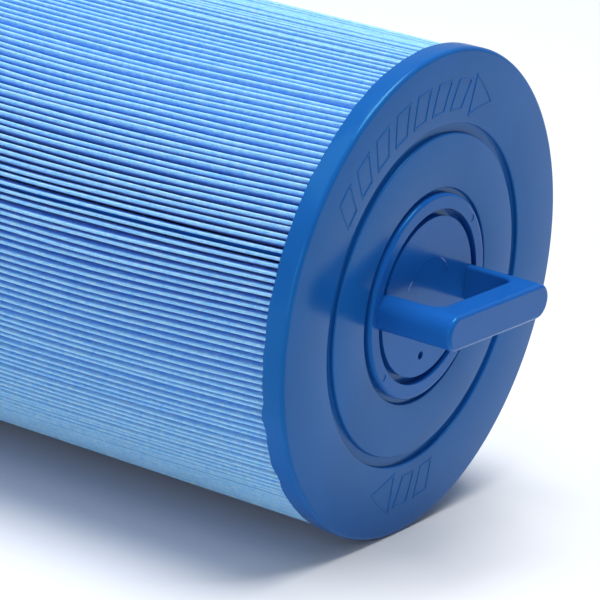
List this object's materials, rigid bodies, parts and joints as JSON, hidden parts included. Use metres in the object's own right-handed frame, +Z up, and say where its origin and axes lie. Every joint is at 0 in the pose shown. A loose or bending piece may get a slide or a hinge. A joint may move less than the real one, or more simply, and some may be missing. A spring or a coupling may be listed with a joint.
{
  "type": "filter cartridge",
  "caption": "Screw-in pleated spa filter cartridge, lying on its side, with a moulded pull handle on one end cap and a male threaded outlet on the other.",
  "frame": {"origin": "on the cartridge axis, in the plane of the outlet end cap's outer face, where the cap seats against the housing and the outlet's plain collar begins", "axes": "+Y along the axis out of the threaded outlet, so the pull handle faces -Y; +X along the handle's bar; +Z up, with the cartridge on its side"},
  "size_m": [0.15, 0.2588, 0.15],
  "materials": {
    "media": "fibrous spun-bonded sheet",
    "adhesive": "satin",
    "core_plastic": "satin",
    "cast_cap": "satin",
    "moulded_plastic": "semi-gloss"
  },
  "bodies": {
    "root": {"pleated_media": "media", "media_seam_bead": "adhesive", "core_tube": "core_plastic", "handle_end_cap": "cast_cap", "handle_insert": "moulded_plastic", "outlet_end_cap": "cast_cap", "threaded_outlet": "moulded_plastic"}
  },
  "joints": []
}
